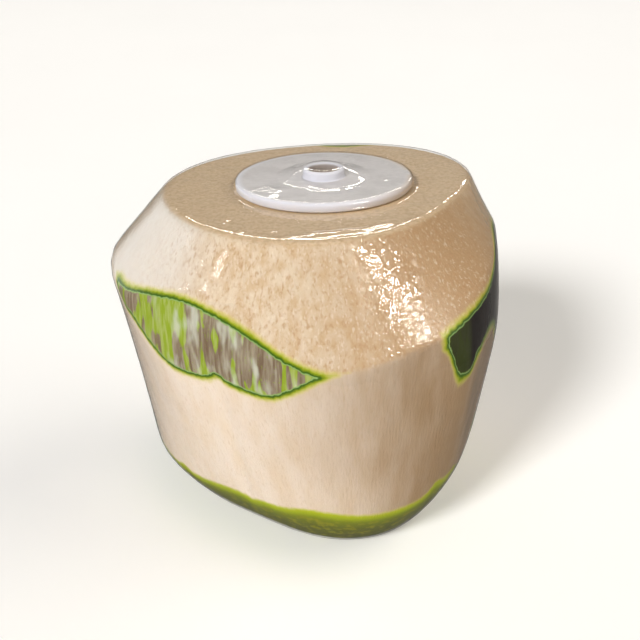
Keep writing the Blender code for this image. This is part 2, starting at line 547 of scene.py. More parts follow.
def unevenness_group() -> bpy.types.NodeTree:
    """The faint unevenness of a handled surface, which several finishes share.

    Returns:
        A group that takes a vector and a scale and puts out a value round 0.5.
    """
    group = bpy.data.node_groups.new("faint_unevenness", "ShaderNodeTree")
    for name, way, kind in (("Vector", "IN", "Vector"), ("Scale", "IN", "Float"), ("Value", "OUT", "Float")):
        group.interface.new_socket(name, in_out=way + "PUT", socket_type="NodeSocket" + kind)
    graph = Graph(group)
    start, end = group.nodes.new("NodeGroupInput"), group.nodes.new("NodeGroupOutput")
    total = 0.0
    for finer, share in ((1.0, 0.6), (4.3, 0.4)):
        layer = graph.add("TexNoise")
        scale = graph.times(start.outputs["Scale"], finer)
        graph.feed(layer, {"Detail": 3.0, "Vector": start.outputs["Vector"], "Scale": scale})
        total = graph.maths("MULTIPLY_ADD", layer.outputs["Fac"], share, total)
    graph.feed(end, {"Value": total})
    return group


def unevenness(graph: Graph, spacing: float) -> Socket:
    """Puts the shared unevenness into a finish.

    Args:
        graph: The finish's graph.
        spacing: Rough size of one swell in metres.

    Returns:
        The value round 0.5.
    """
    node = graph.add("Group")
    node.node_tree = bpy.data.node_groups.get("faint_unevenness") or unevenness_group()
    graph.feed(node, {"Vector": graph.place(), "Scale": 1.0 / spacing})
    return node.outputs["Value"]


# Husk

@dataclass(frozen=True)
class HuskFinish:
    """Moist cut husk, cream to tan, with green skin that bleeds a little into the cuts. Its right side is
    darkened, partly a wet tan and partly painted shade. Its left shoulder is lightened, partly paler flesh
    and partly painted light. A whitish haze on the front-left skin is a painted reflection, and a pale line
    inside the skin's edge is a painted highlight.

    A pair is where a share starts and is full, or the factor and the base of a value.
    """

    cream: Colour = srgb(236, 221, 205)
    drift: Grain = Grain(5 * MM, 3.0, (1.0, 1.0, 5.0))
    sand: Layer = Layer(srgb(231, 211, 187), drift, 0.30, 0.78)
    fibre: Layer = Layer(srgb(196, 166, 128), Grain(0.45 * MM, 4.0, (1.0, 1.0, 24.0)), 0.50, 0.76, 0.34)
    # Painted shade, partly a real tan: the colour that the flesh on the right side darkens to.
    tanned_and_shaded: Colour = srgb(166, 137, 103)
    tan_drift: Pair = (0.6, 0.7)
    shoulder_cream: Colour = srgb(222, 204, 179)
    shoulder_tan: Layer = Layer(srgb(206, 178, 142), Grain(2.6 * MM, 5.0, (1.0, 1.0, 1.8)), 0.32, 0.70)
    # Painted light, partly paler flesh: the colour that the left shoulder lightens to.
    shoulder_pale_and_lit: Colour = srgb(226, 218, 208)
    # Painted shade, partly the wet look under the film: the shoulder colour on the right side.
    shoulder_wet_and_shaded: Colour = srgb(184, 150, 110)
    pits: Layer = Layer(srgb(178, 136, 92), Grain(0.8 * MM, 4.0, (1.0, 1.0, 2.2), 0.5), 0.48, 0.74, 0.62)
    flakes: Layer = Layer(srgb(234, 220, 200), Grain(0.7 * MM, 3.0, (1.0, 1.0, 2.6), 0.3), 0.54, 0.70, 0.45)
    top_tan: Colour = srgb(218, 192, 157)
    top_dark: Layer = Layer(srgb(198, 170, 132), Grain(1.1 * MM, 5.0, warp=0.8), 0.36, 0.68)

    fine: Grain = Grain(0.9 * MM, 4.0, (1.0, 1.0, 9.0))
    leaf: Colour = srgb(142, 164, 30)
    leaf_pale: Layer = Layer(srgb(166, 178, 96), fine, 0.42, 0.68)
    leaf_specks: Layer = Layer(leaf, Grain(0.5 * MM), 0.62, 0.70, 0.6)
    mauve: Colour = srgb(116, 94, 72)
    mauve_pale: Layer = Layer(srgb(160, 148, 126), fine, 0.28, 0.74)
    bars: Grain = Grain(3.2 * MM, 1.5, (1.0, 1.0, 7.0), 0.3)
    bar_share: float = 0.6
    blots: Grain = Grain(3.6 * MM, 1.5, (1.0, 1.0, 2.4), 0.4)
    blot_share: float = 0.4
    scab_pull: float = 0.24
    scab_edge: Pair = (0.485, 0.515)
    # Painted reflection: a whitish haze standing for the film's reflection of the pale ground.
    painted_haze: Layer = Layer(srgb(204, 206, 190), Grain(3.4 * MM, 2.0, (1.0, 1.0, 2.6)), 0.48, 0.72, 0.75)
    brown: Colour = srgb(26, 12, 8)
    olive: Colour = srgb(46, 54, 0)

    # The pale stop at 0.34 mm is a painted highlight: a thin light line just inside the dark green edge.
    patch_line: Stops = (
        (-3.0, srgb(228, 208, 136)), (-1.5, srgb(202, 196, 74)), (-0.75, srgb(156, 168, 14)),
        (-0.4, srgb(112, 136, 4)), (-0.1, srgb(60, 96, 4)), (0.14, srgb(62, 104, 18)),
        (0.34, srgb(146, 178, 108)), (0.7, srgb(134, 158, 56)),
    )
    patch_start: Pair = (0.4, 0.7)
    foot_tones: Stops = (
        (-3.0, srgb(224, 208, 120)), (-1.0, srgb(182, 188, 30)), (0.4, srgb(160, 174, 4)),
        (2.6, srgb(128, 138, 2)), (7.0, srgb(106, 110, 2)), (16.0, srgb(98, 98, 4)),
    )
    foot_mottle: Layer = Layer(srgb(148, 148, 10), Grain(2.2 * MM, 4.0), 0.48, 0.66)
    mottle_start: Pair = (0.5, 4.0)
    edge_waver: Grain = Grain(1.5 * MM, 3.0)
    edge_waver_size: float = 1.1
    bleed: Pair = (-2.6, -0.5)

    fibre_relief: Grain = Grain(0.6 * MM, 5.0, (1.0, 1.0, 12.0), 0.3)
    grain_relief: Grain = Grain(0.8 * MM, 4.0, (1.0, 1.0, 2.2))
    relief_depth: float = 0.18 * MM
    skin_start: Pair = (-0.2, 0.6)
    skin_smoothness: float = 0.7
    roughness: Pair = (0.3, 0.36)

    def flesh(self, graph: Graph) -> Socket:
        """Colours the cut faces.

        Args:
            graph: The finish's graph.

        Returns:
            The colour.
        """
        # This share darkens the right side: painted shade, partly a real wet tan.
        tanned_and_shaded = graph.attribute("tanned_and_shaded")
        wall = graph.lay(graph.lay(self.cream, self.sand), self.fibre)
        uneven = graph.maths("MULTIPLY_ADD", graph.noise(self.drift), *self.tan_drift)
        wall = graph.mix(graph.maths("MULTIPLY", tanned_and_shaded, uneven, clamp=True), wall, self.tanned_and_shaded)
        shoulder = graph.lay(self.shoulder_cream, self.shoulder_tan)
        # The left shoulder is lightened: painted light, partly paler cream flesh.
        shoulder = graph.mix(graph.attribute("pale_and_lit_side"), shoulder, self.shoulder_pale_and_lit)
        shoulder = graph.mix(tanned_and_shaded, shoulder, self.shoulder_wet_and_shaded)
        for layer in (self.pits, self.flakes):
            shoulder = graph.lay(shoulder, layer, graph.attribute("pitted"))
        cut = graph.mix(graph.attribute("on_shoulder"), wall, shoulder)
        return graph.mix(graph.attribute("on_top"), cut, graph.lay(self.top_tan, self.top_dark))

    def skin(self, graph: Graph, edge: Socket) -> Socket:
        """Colours the green skin, from its cut edge inwards.

        Args:
            graph: The finish's graph.
            edge: Millimetres inside the skin's edge.

        Returns:
            The colour.
        """
        pull = graph.times(graph.maths("SUBTRACT", graph.attribute("scabbed"), 0.5), self.scab_pull)
        pattern = graph.maths("MULTIPLY_ADD", graph.noise(self.bars), self.bar_share, pull)
        pattern = graph.maths("MULTIPLY_ADD", graph.noise(self.blots), self.blot_share, pattern)
        scab = graph.lay(graph.lay(self.mauve, self.mauve_pale), self.leaf_specks)
        leaf = graph.lay(self.leaf, self.leaf_pale)
        patch = graph.mix(graph.between(pattern, *self.scab_edge), leaf, scab)
        # Painted reflection: a whitish haze over the front-left skin, for the film mirroring the pale
        # ground.
        patch = graph.lay(patch, self.painted_haze, graph.attribute("painted_haze_share"))
        patch = graph.mix(graph.attribute("shaded_skin"), patch, self.olive)
        patch = graph.mix(graph.attribute("weathered"), patch, self.brown)
        patch = graph.mix(graph.between(edge, *self.patch_start), graph.ramp(edge, self.patch_line), patch)
        band = graph.ramp(edge, self.foot_tones)
        band = graph.mix(graph.between(edge, *self.mottle_start), band, graph.lay(band, self.foot_mottle))
        return graph.mix(graph.attribute("on_foot_band"), patch, band)

    def build(self) -> Material:
        """Makes the husk's material.

        Returns:
            The material.
        """
        material, graph, shader = new_material("carved_husk")
        waver = graph.maths("SUBTRACT", graph.noise(self.edge_waver), 0.5)
        edge = graph.maths("MULTIPLY_ADD", waver, self.edge_waver_size, graph.attribute("inside_skin"))
        relief = graph.add("Mix", data_type="FLOAT")
        fibres, grain = graph.noise(self.fibre_relief), graph.noise(self.grain_relief)
        graph.feed(relief, {0: graph.attribute("on_shoulder"), 2: fibres, 3: grain})
        smooth = graph.times(graph.between(edge, *self.skin_start), self.skin_smoothness)
        cut_only = graph.maths("SUBTRACT", 1.0, smooth)
        green = graph.between(edge, *self.bleed)
        graph.feed(shader, {
            "Base Color": graph.mix(green, self.flesh(graph), self.skin(graph, edge)),
            "Normal": graph.bump(relief.outputs[0], self.relief_depth, cut_only),
            "Roughness": graph.maths("MULTIPLY_ADD", unevenness(graph, 5 * MM), *self.roughness),
            "Subsurface Weight": 0.12,
            "Subsurface Radius": (1.0, 0.6, 0.35),
            "Subsurface Scale": 1.2 * MM,
            "Specular IOR Level": 0.3,
        })
        return material


class Cut(Enum):
    """The two cuts that the green skin ends at."""

    PEEL = 0
    SHOULDER = 1


@dataclass(frozen=True)
class EdgeShift:
    """A place where the skin's coloured edge lies a little further out, in millimetres."""

    cut: Cut
    towards: float
    spread: float
    amount: float

    def at(self, azimuth: Array) -> Array:
        """Millimetres of shift at azimuths in radians."""
        return self.amount * np.exp(-((apart(azimuth, self.towards) / self.spread) ** 2))


@dataclass
class Husk:
    """The carved coconut: cut husk with green skin left in patches and in a band at the foot.

    A pair is where a share starts and is full. The skin's start is the azimuth of a patch's tip, the
    tip's height and how far over and under it the edge has bent away.
    """

    carving: Carving
    finish: HuskFinish
    columns: int = 384
    foot_rows: int = 16
    wall_rows: int = 150
    top_rows: int = 52
    facet_depth: float = 0.16 * MM
    ripple_depth: float = 0.07 * MM
    dimple_depth: float = 0.06 * MM
    edge_shifts: tuple[EdgeShift, ...] = (
        EdgeShift(Cut.SHOULDER, -122.0, 10.0, -1.0), EdgeShift(Cut.SHOULDER, -163.0, 5.0, 1.6),
        EdgeShift(Cut.SHOULDER, -34.0, 18.0, -3.0), EdgeShift(Cut.PEEL, -157.5, 3.0, 2.0),
        EdgeShift(Cut.PEEL, -55.0, 2.5, 2.2), EdgeShift(Cut.PEEL, -48.0, 3.0, -1.6),
    )
    skin_start: Triple = (-59.4, 72.0 * MM, 9.5 * MM)
    skin_start_bow: float = 1.6
    skin_start_reach: float = 25.0
    skin_over_rim: EdgeShift = EdgeShift(Cut.SHOULDER, 80.0, 15.0, 4.2)
    probe_step: float = 0.4 * MM
    least_radius: float = 5 * MM
    least_slope: float = 0.08
    distance_limits: Pair = (-8.0, 25.0)
    foot_band: Pair = (42 * MM, 34 * MM)
    # Where the flesh darkens on the right side: painted shade, partly a real wet tan.
    wall_tan_and_shade: Span = Span(-30.0, (-98.0, -20.0, 30.0, 80.0))
    slope_tan_and_shade: Span = Span(-30.0, (-78.0, -26.0, -16.0, 60.0))
    low_left_paler: float = 0.35
    pitted_side: Span = Span(-85.0, (-75.0, -35.0, 35.0, 75.0))
    # Where the left shoulder is lightened: painted light, partly paler flesh.
    pale_and_lit_side: Span = Span(-154.0, (-34.0, -10.0, 10.0, 34.0))
    # Where the skin carries the painted reflection, a whitish haze.
    painted_haze_side: Span = Span(-118.0, (-34.0, -12.0, 12.0, 34.0))
    scabbed_back: Span = Span(95.0, (-40.0, -25.0, 25.0, 40.0))
    dark_patch: Span = Span(-45.0, (-20.0, -15.0, 56.0, 66.0))
    patch_middle: float = -118.0
    scab_shares: Triple = (0.36, 0.80, 0.56)
    scab_turns: tuple[Pair, Pair] = ((-24.0, -4.0), (6.0, 24.0))
    back_scabs: float = 0.8
    pits_elsewhere: float = 0.3
    paleness: float = 0.85
    dark_patch_shade: float = 0.96
    shoulder_blend: Pair = (-0.3 * MM, 0.6 * MM)
    weathered_from: float = -50.5

    def sweep(self) -> Sweep:
        """Works out the surface by columns and rows, from the foot's middle to the top's.

        Returns:
            The rows.
        """
        azimuths = 2.0 * np.pi * np.arange(self.columns) / self.columns
        levels = np.linspace(0.0, self.carving.top, self.wall_rows + 1)
        wall = self.carving.husk(azimuths[:, None], levels[None, :])
        inwards = np.linspace(0.0, 1.0, self.foot_rows + 1)[:-1] ** 0.7
        foot = wall[:, :1] * inwards[None, :]
        top = wall[:, -1:] * np.linspace(1.0, 0.0, self.top_rows + 1)[None, 1:]
        radii = np.concatenate((foot, wall, top), axis=1)
        flat = np.full(self.top_rows, self.carving.top)
        heights = np.concatenate((np.zeros(self.foot_rows), levels, flat))
        sweep = Sweep(azimuths, radii, np.repeat(heights[None, :], self.columns, axis=0))
        sweep = sweep.softened(self.foot_rows, 10, 6.0)
        return sweep.softened(self.foot_rows + self.wall_rows, 6, 5.0)

    def skin_distance(self, azimuth: Array, radius: Array, height: Array) -> Array:
        """Millimetres that each point lies inside the green skin's edge, below 0 on the cuts.

        Args:
            azimuth: Azimuths in radians.
            radius: The points' radii.
            height: Their heights.

        Returns:
            The distances.
        """
        step, top = self.probe_step, self.carving.top
        turn = step / np.maximum(radius, self.least_radius)
        nut = self.carving.nut
        distances = []
        for cut in (self.carving.peel, self.carving.shoulder):
            margin = cut(azimuth, height) - nut(azimuth, height)
            up = cut(azimuth, height + step) - nut(azimuth, height + step) - margin
            along = cut(azimuth + turn, height) - nut(azimuth + turn, height) - margin
            lean = (nut(azimuth, height + step) - nut(azimuth, height)) / step
            slope = np.sqrt(up * up / (1.0 + lean * lean) + along * along) / step
            distances.append(margin / np.maximum(slope, self.least_slope))
        for shift in self.edge_shifts:
            distances[shift.cut.value] = distances[shift.cut.value] + shift.at(azimuth) * MM
        edge = np.minimum(distances[0], distances[1])
        towards, middle, bend = self.skin_start
        from_start = apart(azimuth, towards) - self.skin_start_bow * ((height - middle) / bend) ** 2
        start = np.radians(from_start) * radius
        edge = np.where(np.abs(from_start) < self.skin_start_reach, np.minimum(edge, start), edge)
        depth = nut(azimuth, height) - radius
        over_rim = self.skin_over_rim.at(azimuth) * MM - depth
        upper = ease(height, top - 8 * MM, top - 2 * MM)
        edge = edge + upper * (np.maximum(edge, over_rim) - edge)
        edge = np.where(height > top - 0.4 * MM, over_rim, edge)
        edge = np.where(height < 0.05 * MM, -depth, edge)
        return np.clip(edge / MM, *self.distance_limits)

    def tanning_and_shade(self, azimuth: Array, height: Array, shoulder: Array) -> Array:
        """How much the cut flesh is darkened on the right side: partly a wet tan under the film, partly
        painted shade for the side that the key light misses.

        Args:
            azimuth: Azimuths in radians.
            height: Heights.
            shoulder: Share of the shoulder cut at each point.

        Returns:
            Shares, 0 to 1.
        """
        low_left = ease(height, 40 * MM, 22 * MM) * ease(apart(azimuth, -30.0), -30.0, -55.0)
        on_wall = self.wall_tan_and_shade.at(azimuth) * (1.0 - self.low_left_paler * low_left)
        return on_wall + (self.slope_tan_and_shade.at(azimuth) - on_wall) * shoulder

    def masks(self, azimuth: Array, radius: Array, height: Array) -> dict[str, Array]:
        """Says what each point of the surface is.

        Args:
            azimuth: Azimuths in radians.
            radius: The points' radii.
            height: Their heights.

        Returns:
            Named values by point.
        """
        cut = self.carving.peel(azimuth, height) - self.carving.shoulder(azimuth, height)
        shoulder = ease(cut, *self.shoulder_blend)
        along_patch = apart(azimuth, self.patch_middle)
        left, middle, right = self.scab_shares
        first, second = self.scab_turns
        scabbed = left + (middle - left) * ease(along_patch, *first)
        scabbed = scabbed + (right - middle) * ease(along_patch, *second)
        dark_patch = self.dark_patch.at(azimuth)
        return {
            "inside_skin": self.skin_distance(azimuth, radius, height),
            "on_shoulder": shoulder,
            "on_top": ease(height, self.carving.top - 1.0 * MM, self.carving.top - 0.1 * MM),
            "on_foot_band": ease(height, *self.foot_band),
            "pitted": self.pits_elsewhere + (1.0 - self.pits_elsewhere) * self.pitted_side.at(azimuth),
            "tanned_and_shaded": self.tanning_and_shade(azimuth, height, shoulder),
            "pale_and_lit_side": self.paleness * self.pale_and_lit_side.at(azimuth),
            "scabbed": np.maximum(scabbed, self.back_scabs * self.scabbed_back.at(azimuth)),
            "painted_haze_share": self.painted_haze_side.at(azimuth),
            "shaded_skin": self.dark_patch_shade * dark_patch,
            "weathered": dark_patch * ease(apart(azimuth, self.weathered_from), -1.0, 1.0),
        }

    def relief(self, points: Array, masks: dict[str, Array]) -> Array:
        """Knife facets, ripples and dimples of the surface.

        Args:
            points: Points in metres.
            masks: What each point is.

        Returns:
            How far each point is moved outwards.
        """
        smooth = 1.0 - 0.7 * ease(masks["inside_skin"], -0.5, 1.0)
        facets = self.facet_depth * speckle(points, 9 * MM, 3.7, 5.0)
        ripples = self.ripple_depth * speckle(points, 2.4 * MM, 11.3, 3.0)
        dimples = self.dimple_depth * speckle(points, 2.0 * MM, 23.9)
        wall = 1.0 - masks["on_shoulder"]
        cut_face = facets * (0.25 + 0.75 * wall) * (1.0 - masks["on_top"]) + ripples * wall
        return smooth * (cut_face + dimples)

    def build(self) -> bpy.types.Object:
        """Makes and dresses the husk.

        Returns:
            The piece.
        """
        sweep = self.sweep()
        rows = sweep.radii.shape[1] - 1
        bm = bmesh.new()
        bmesh.ops.create_uvsphere(bm, u_segments=self.columns, v_segments=rows, radius=1.0)
        piece = new_piece("carved_husk", bm, "husk")
        mesh = piece.data
        sphere = np.empty(3 * len(mesh.vertices))
        mesh.vertices.foreach_get("co", sphere)
        sphere = sphere.reshape(-1, 3)
        row = np.rint((1.0 - np.arccos(np.clip(sphere[:, 2], -1.0, 1.0)) / np.pi) * rows).astype(int)
        turn = np.arctan2(sphere[:, 1], sphere[:, 0]) / (2.0 * np.pi)
        column = np.rint(turn * self.columns).astype(int) % self.columns

        azimuth = sweep.azimuths[column]
        radius, height = sweep.radii[column, row], sweep.heights[column, row]
        points = sweep.points()[column, row]
        masks = self.masks(azimuth, radius, height)
        mesh.vertices.foreach_set("co", points.ravel())
        mesh.update()
        normals = np.empty(3 * len(mesh.vertices))
        mesh.vertex_normals.foreach_get("vector", normals)
        off_flats = ease(height, 0.0, 3 * MM)
        points = points + normals.reshape(-1, 3) * (off_flats * self.relief(points, masks))[:, None]
        mesh.vertices.foreach_set("co", points.ravel())
        mesh.update()
        for name, values in masks.items():
            mesh.attributes.new(name, "FLOAT", "POINT").data.foreach_set("value", values)
        mesh.materials.append(self.finish.build())
        return piece


# Cap

@dataclass(frozen=True)
class CapFinish:
    """Translucent white moulded plastic with a cool cast and faint flow marks, with painted light on the
    rim's side and the boss, a painted shadow along the rim's right side and painted shade in the bore.
    """

    white: Colour = srgb(212, 209, 211)
    shade: Colour = srgb(202, 199, 201)
    # Painted shadow: the orange-brown tone along the rim's right side.
    rim_shadow: Colour = srgb(200, 180, 158)
    # Painted light on the rim's side and the boss.
    lit: Colour = srgb(232, 233, 242)
    # Painted shade: the darker beige inside the bore.
    bore_shade: Colour = srgb(160, 144, 126)

    def build(self) -> Material:
        """Makes the cap's material.

        Returns:
            The material.
        """
        material, graph, shader = new_material("white_cap")
        marks = graph.between(unevenness(graph, 6 * MM), 0.35, 0.65)
        plastic = graph.mix(marks, self.white, self.shade)
        for name, tone in (("painted_lit_side", self.lit), ("painted_rim_shadow", self.rim_shadow), ("painted_bore_shade", self.bore_shade)):
            plastic = graph.mix(graph.attribute(name), plastic, tone)
        graph.feed(shader, {
            "Base Color": plastic,
            "Roughness": graph.maths("MULTIPLY_ADD", marks, 0.12, 0.3),
            "Normal": graph.bump(unevenness(graph, 1.2 * MM), 0.05 * MM),
            "Subsurface Weight": 0.5,
            "Subsurface Radius": (1.0, 0.95, 0.9),
            "Subsurface Scale": 1.0 * MM,
        })
        return material


@dataclass
class Cap:
    """The drinking cap: a thin disc with a raised, open boss in the middle."""

    carving: Carving
    finish: CapFinish
    radius: float = 0.0250
    thickness: float = 0.0024
    edge_round: float = 0.0007
    boss_radius: float = 0.00585
    hole_radius: float = 0.00435
    boss_height: float = 0.0026
    fillet: float = 0.0006
    seat_gap: float = 0.0003
    under_chamfer: float = 0.0004
    columns: int = 144
    arc_steps: int = 8
    face_steps: int = 12
    sharp_angle: float = 50.0

    def arc(self, centre: Pair, radius: float, start: float, end: float) -> list[Pair]:
        """Points of a round corner in a profile.

        Args:
            centre: Its middle, as radius and height.
            radius: Its radius.
            start: The angle at which it starts, in degrees.
            end: The angle at which it ends.

        Returns:
            The points.
        """
        points = []
        for step in range(self.arc_steps + 1):
            angle = math.radians(start + (end - start) * step / self.arc_steps)
            points.append((centre[0] + radius * math.cos(angle), centre[1] + radius * math.sin(angle)))
        return points

    def profile(self) -> list[Pair]:
        """Half the cap's section, from the foot of the hole outwards and back up to it.

        Returns:
            Its points as radius and height.
        """
        under = self.carving.top + self.seat_gap
        face = under + self.thickness
        crown = face + self.boss_height
        edge, lip = self.edge_round, (self.boss_radius - self.hole_radius) / 2
        chamfer = self.under_chamfer
        points = [(self.hole_radius, under), (self.radius - chamfer, under), (self.radius, under + chamfer)]
        points += self.arc((self.radius - edge, face - edge), edge, 0, 90)
        outer, inner = self.radius - edge, self.boss_radius + self.fillet
        for step in range(1, self.face_steps):
            points.append((outer + step / self.face_steps * (inner - outer), face))
        points += self.arc((self.boss_radius + self.fillet, face + self.fillet), self.fillet, 270, 180)
        points += self.arc((self.boss_radius - lip, crown - lip), lip, 0, 180)
        return points

    def build(self) -> bpy.types.Object:
        """Makes and dresses the cap.

        Returns:
            The piece.
        """
        bm = bmesh.new()
        verts = [bm.verts.new((radius, 0.0, height)) for radius, height in self.profile()]
        edges = [bm.edges.new((verts[i - 1], verts[i])) for i in range(len(verts))]
        bmesh.ops.spin(
            bm, geom=verts + edges, cent=(0.0, 0.0, 0.0), axis=(0.0, 0.0, 1.0),
            angle=2 * math.pi, steps=self.columns, use_merge=True,
        )
        bmesh.ops.remove_doubles(bm, verts=bm.verts, dist=SEAM_MERGE)
        bmesh.ops.recalc_face_normals(bm, faces=bm.faces)
        face = self.carving.top + self.seat_gap + self.thickness
        tones = {name: bm.verts.layers.float.new(name) for name in ("painted_rim_shadow", "painted_lit_side", "painted_bore_shade")}
        for vert in bm.verts:
            radius = math.hypot(vert.co.x, vert.co.y)
            right = max(vert.co.x / radius, 0.0)
            on_rim = float(radius > self.radius - self.edge_round)
            in_boss = float(radius < self.boss_radius + 0.5 * self.fillet)
            # Painted shadow: an orange-brown shade along the rim, strongest on the right side.
            vert[tones["painted_rim_shadow"]] = 0.8 * right ** 2 * on_rim
            # Painted light: the rim's side and the boss are lighter and cooler.
            vert[tones["painted_lit_side"]] = 0.9 * max(on_rim, in_boss)
            # Painted shade: the bore's wall darkens to beige below the boss's top.
            bore = float(radius < self.hole_radius + 0.1 * MM)
            vert[tones["painted_bore_shade"]] = bore * min(max((face + self.boss_height - vert.co.z) / MM, 0.0), 1.0)
        bmesh.ops.translate(bm, verts=bm.verts, vec=(*CAP_AXIS, 0.0))
        piece = new_piece("drinking_cap", bm, "cap")
        piece.data.set_sharp_from_angle(angle=math.radians(self.sharp_angle))
        piece.data.materials.append(self.finish.build())
        return piece


# Film

@dataclass(frozen=True)
class FilmFinish:
    """Clear shrink film: it shows only what it mirrors, and it crinkles where it clings."""

    clearness: float = 1.5
    gloss: float = 0.04
    dullness: float = 0.34
    wet_patches: Grain = Grain(3.0 * MM, 2.0, warp=0.5)
    wet_edge: Pair = (0.40, 0.60)
    reliefs: tuple[tuple[str, Grain, float], ...] = (
        ("waved", Grain(2.2 * MM, 2.0, (1.0, 1.0, 2.5), 0.4), 0.05 * MM),
        ("streaked", Grain(0.9 * MM, 1.0, (1.0, 5.0, 1.0), 0.3), 0.18 * MM),
        ("blistered", Grain(2.8 * MM, 0.8, warp=0.6), 0.6 * MM),
        ("beaded", Grain(1.0 * MM, 0.8, warp=0.6), 0.24 * MM),
    )

    def build(self) -> Material:
        """Makes the film's material.

        Returns:
            The material.
        """
        material, graph, shader = new_material("clear_film")
        wetness = graph.maths("SUBTRACT", graph.attribute("wet"), 0.18)
        patchy = graph.maths("MULTIPLY_ADD", graph.noise(self.wet_patches), 0.6, wetness)
        dry = graph.maths("SUBTRACT", 1.0, graph.between(patchy, *self.wet_edge))
        normal = None
        for name, grain, depth in self.reliefs:
            normal = graph.bump(graph.noise(grain), depth, graph.attribute(name), normal)
        fresnel = graph.add("Fresnel")
        graph.feed(fresnel, {"IOR": self.clearness, "Normal": normal})
        outer = graph.maths("SUBTRACT", 1.0, graph.add("NewGeometry").outputs["Backfacing"])
        dull = graph.times(graph.attribute("dulled"), dry)
        rough = graph.maths("MULTIPLY_ADD", dull, self.dullness, self.gloss)
        uneven = graph.maths("ADD", unevenness(graph, 8 * MM), 0.5)
        graph.feed(shader, {
            "Base Color": (1.0, 1.0, 1.0, 1.0),
            "Metallic": 1.0,
            "Roughness": graph.times(rough, uneven),
            "Normal": normal,
            "Alpha": graph.times(fresnel.outputs["Fac"], outer),
        })
        return material


@dataclass(frozen=True)
class Crease:
    """A short straight wrinkle in the film over the top, in millimetres from the cap's axis."""

    start: Pair
    end: Pair
    height: float = 0.10
    width: float = 0.45

    def at(self, x: float, y: float) -> float:
        """How far the wrinkle lifts the film.

        Args:
            x: Plan place in millimetres from the axis.
            y: The same, to the back.

        Returns:
            Millimetres.
        """
        along = Vector(self.end) - Vector(self.start)
        share = min(max((Vector((x, y)) - Vector(self.start)).dot(along) / along.length_squared, 0.0), 1.0)
        away = (Vector((x, y)) - Vector(self.start) - share * along).length
        fade = min(1.0, 5.0 * share + 0.2, 5.0 * (1.0 - share) + 0.2)
        return self.height * fade * math.exp(-((away / self.width) ** 2))


@dataclass(frozen=True)
class Fold:
    """A small raised facet of film over the cap that leans to the front, in millimetres from its axis."""

    middle: Pair
    half_size: Pair
    turn: float
    lean: float = 9.0

    def at(self, x: float, y: float) -> float:
        """How far the facet lifts the film.

        Args:
            x: Plan place in millimetres from the axis.
            y: The same, to the back.

        Returns:
            Millimetres.
        """
        angle = math.radians(self.turn)
        dx, dy = x - self.middle[0], y - self.middle[1]
        along = (dx * math.cos(angle) + dy * math.sin(angle)) / self.half_size[0]
        across = (dy * math.cos(angle) - dx * math.sin(angle)) / self.half_size[1]
        inside = 1.0 / (1.0 + (along * along + across * across) ** 3)
        return inside * math.tan(math.radians(self.lean)) * (dy + max(self.half_size) * 0.6)


